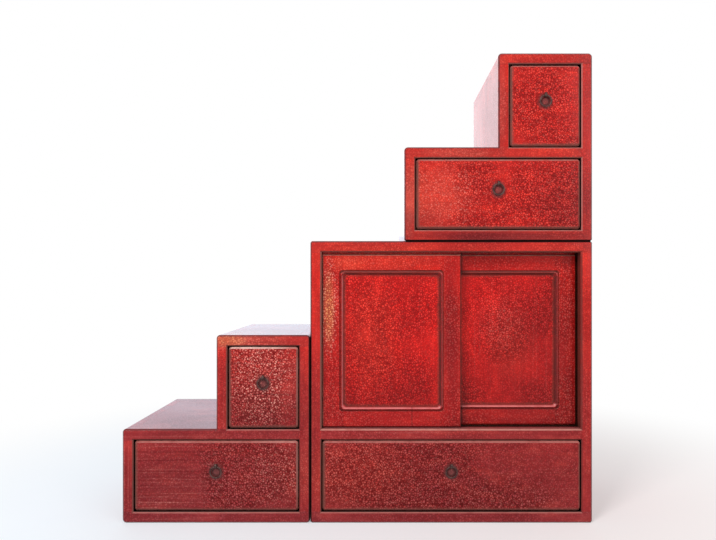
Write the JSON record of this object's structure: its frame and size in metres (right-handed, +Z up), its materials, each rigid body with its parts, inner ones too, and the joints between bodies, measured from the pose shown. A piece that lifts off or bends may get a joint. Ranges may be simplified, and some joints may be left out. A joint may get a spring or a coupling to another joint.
{
  "type": "step chest tansu",
  "caption": "Red lacquered step chest in separate stacking units, with drawers on ring pulls and a pair of sliding panelled doors.",
  "frame": {"origin": "bottom centre of the whole chest's box, on the floor; the ring pulls count in its depth", "axes": "+Z up; -Y towards the front, where the drawers open; +X to the right, the way the steps rise"},
  "size_m": [1.25, 0.429, 1.25],
  "materials": {
    "frame_lacquer": "glossy red crackled lacquer, browned at the edges",
    "drawer_lacquer": "glossy red crackled lacquer with the grain across",
    "door_lacquer": "glossy red crackled lacquer with the grain upright",
    "bare_wood": "planed, unfinished",
    "iron": "dark forged iron"
  },
  "bodies": {
    "carcase": {"left_unit_bottom": "frame_lacquer", "left_unit_outer_side": "frame_lacquer", "left_unit_inner_side": "frame_lacquer", "left_unit_tread": "frame_lacquer", "left_unit_riser": "frame_lacquer", "left_unit_top": "frame_lacquer", "left_unit_back": "bare_wood", "upper_unit_bottom": "frame_lacquer", "upper_unit_outer_side": "frame_lacquer", "upper_unit_inner_side": "frame_lacquer", "upper_unit_tread": "frame_lacquer", "upper_unit_riser": "frame_lacquer", "upper_unit_top": "frame_lacquer", "upper_unit_back": "bare_wood", "cabinet_bottom": "frame_lacquer", "cabinet_left_side": "frame_lacquer", "cabinet_right_side": "frame_lacquer", "cabinet_sill": "frame_lacquer", "cabinet_top": "frame_lacquer", "cabinet_back": "bare_wood"},
    "left_wide_drawer": {"left_wide_drawer_front": "drawer_lacquer", "left_wide_drawer_sides": "bare_wood", "left_wide_drawer_back": "bare_wood", "left_wide_drawer_bottom": "bare_wood", "left_wide_drawer_split_pin": "iron"},
    "left_wide_ring_pull": {"left_wide_drawer_ring": "iron"},
    "left_narrow_drawer": {"left_narrow_drawer_front": "drawer_lacquer", "left_narrow_drawer_sides": "bare_wood", "left_narrow_drawer_back": "bare_wood", "left_narrow_drawer_bottom": "bare_wood", "left_narrow_drawer_split_pin": "iron"},
    "left_narrow_ring_pull": {"left_narrow_drawer_ring": "iron"},
    "cabinet_drawer": {"cabinet_drawer_front": "drawer_lacquer", "cabinet_drawer_sides": "bare_wood", "cabinet_drawer_back": "bare_wood", "cabinet_drawer_bottom": "bare_wood", "cabinet_drawer_split_pin": "iron"},
    "cabinet_ring_pull": {"cabinet_drawer_ring": "iron"},
    "upper_wide_drawer": {"upper_wide_drawer_front": "drawer_lacquer", "upper_wide_drawer_sides": "bare_wood", "upper_wide_drawer_back": "bare_wood", "upper_wide_drawer_bottom": "bare_wood", "upper_wide_drawer_split_pin": "iron"},
    "upper_wide_ring_pull": {"upper_wide_drawer_ring": "iron"},
    "upper_narrow_drawer": {"upper_narrow_drawer_front": "drawer_lacquer", "upper_narrow_drawer_sides": "bare_wood", "upper_narrow_drawer_back": "bare_wood", "upper_narrow_drawer_bottom": "bare_wood", "upper_narrow_drawer_split_pin": "iron"},
    "upper_narrow_ring_pull": {"upper_narrow_drawer_ring": "iron"},
    "left_door": {"left_door_left_stile": "door_lacquer", "left_door_right_stile": "door_lacquer", "left_door_lower_rail": "door_lacquer", "left_door_upper_rail": "door_lacquer", "left_door_panel": "door_lacquer"},
    "right_door": {"right_door_left_stile": "door_lacquer", "right_door_right_stile": "door_lacquer", "right_door_lower_rail": "door_lacquer", "right_door_upper_rail": "door_lacquer", "right_door_panel": "door_lacquer"}
  },
  "joints": [
    {"name": "left_wide_drawer_slide", "type": "slide", "parent": "carcase", "child": "left_wide_drawer", "axis": [0, -1, 0], "range_m": [0, 0.3]},
    {"name": "left_wide_ring_swing", "type": "hinge", "parent": "left_wide_drawer", "child": "left_wide_ring_pull", "pos_m": [-0.3754, -0.20975, 0.151], "axis": [-1, 0, 0], "range_deg": [-5, 170]},
    {"name": "left_narrow_drawer_slide", "type": "slide", "parent": "carcase", "child": "left_narrow_drawer", "axis": [0, -1, 0], "range_m": [0, 0.3]},
    {"name": "left_narrow_ring_swing", "type": "hinge", "parent": "left_narrow_drawer", "child": "left_narrow_ring_pull", "pos_m": [-0.2504, -0.20975, 0.386], "axis": [-1, 0, 0], "range_deg": [-5, 170]},
    {"name": "cabinet_drawer_slide", "type": "slide", "parent": "carcase", "child": "cabinet_drawer", "axis": [0, -1, 0], "range_m": [0, 0.3]},
    {"name": "cabinet_ring_swing", "type": "hinge", "parent": "cabinet_drawer", "child": "cabinet_ring_pull", "pos_m": [0.25, -0.20975, 0.151], "axis": [-1, 0, 0], "range_deg": [-5, 170]},
    {"name": "upper_wide_drawer_slide", "type": "slide", "parent": "carcase", "child": "upper_wide_drawer", "axis": [0, -1, 0], "range_m": [0, 0.3]},
    {"name": "upper_wide_ring_swing", "type": "hinge", "parent": "upper_wide_drawer", "child": "upper_wide_ring_pull", "pos_m": [0.375, -0.20975, 0.901], "axis": [-1, 0, 0], "range_deg": [-5, 170]},
    {"name": "upper_narrow_drawer_slide", "type": "slide", "parent": "carcase", "child": "upper_narrow_drawer", "axis": [0, -1, 0], "range_m": [0, 0.3]},
    {"name": "upper_narrow_ring_swing", "type": "hinge", "parent": "upper_narrow_drawer", "child": "upper_narrow_ring_pull", "pos_m": [0.5, -0.20975, 1.136], "axis": [-1, 0, 0], "range_deg": [-5, 170]},
    {"name": "left_door_slide", "type": "slide", "parent": "carcase", "child": "left_door", "axis": [1, 0, 0], "range_m": [0, 0.317]},
    {"name": "right_door_slide", "type": "slide", "parent": "carcase", "child": "right_door", "axis": [-1, 0, 0], "range_m": [0, 0.317]}
  ]
}
